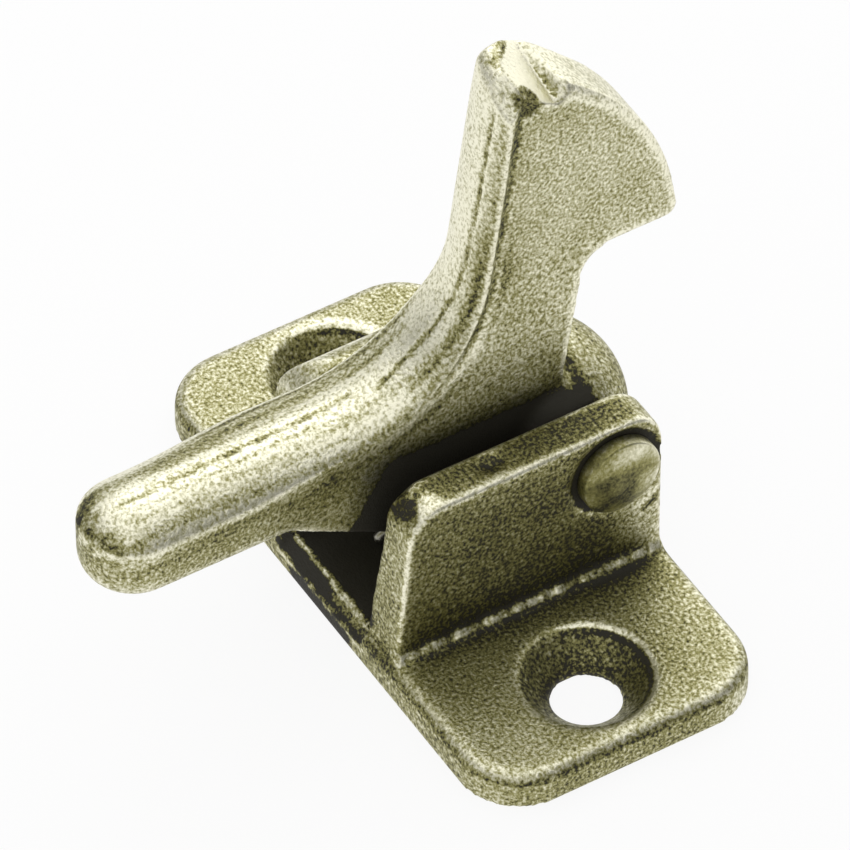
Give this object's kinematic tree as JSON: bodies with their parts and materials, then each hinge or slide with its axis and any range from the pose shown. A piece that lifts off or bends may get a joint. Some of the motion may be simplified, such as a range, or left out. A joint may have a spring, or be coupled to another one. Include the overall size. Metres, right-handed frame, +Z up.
{
  "type": "elbow catch",
  "caption": "Sprung elbow catch: a hooked lever with a finger tail, pivoted on a rivet between the ears of a screw-down bracket.",
  "frame": {"origin": "centre of the bracket's flat mounting face", "axes": "+X along the pivot and the length of the bracket, +Y towards the hook's beak, +Z up out of the mounting face; the finger tail reaches out along -Y"},
  "size_m": [0.036, 0.0355, 0.0351],
  "materials": {
    "bracket_casting": "cast zinc, antique brass plated, dark in the recesses and rubbed on the edges",
    "lever_casting": "cast zinc, antique brass plated, rubbed pale on the crest of the tail and head",
    "rivet": "turned brass, dulled",
    "spring_wire": "drawn spring wire"
  },
  "bodies": {
    "base": {"base_bracket": "bracket_casting", "pivot_rivet": "rivet", "return_spring": "spring_wire"},
    "lever": {"lever": "lever_casting"}
  },
  "joints": [
    {"name": "lever_swing", "type": "hinge", "parent": "base", "child": "lever", "pos_m": [0, 0.0056, 0.0094], "axis": [1, 0, 0], "range_deg": [0, 18], "stiffness_Nm_per_rad": 0.1, "springref_deg": -22.92, "deforming": ["return_spring"]}
  ]
}
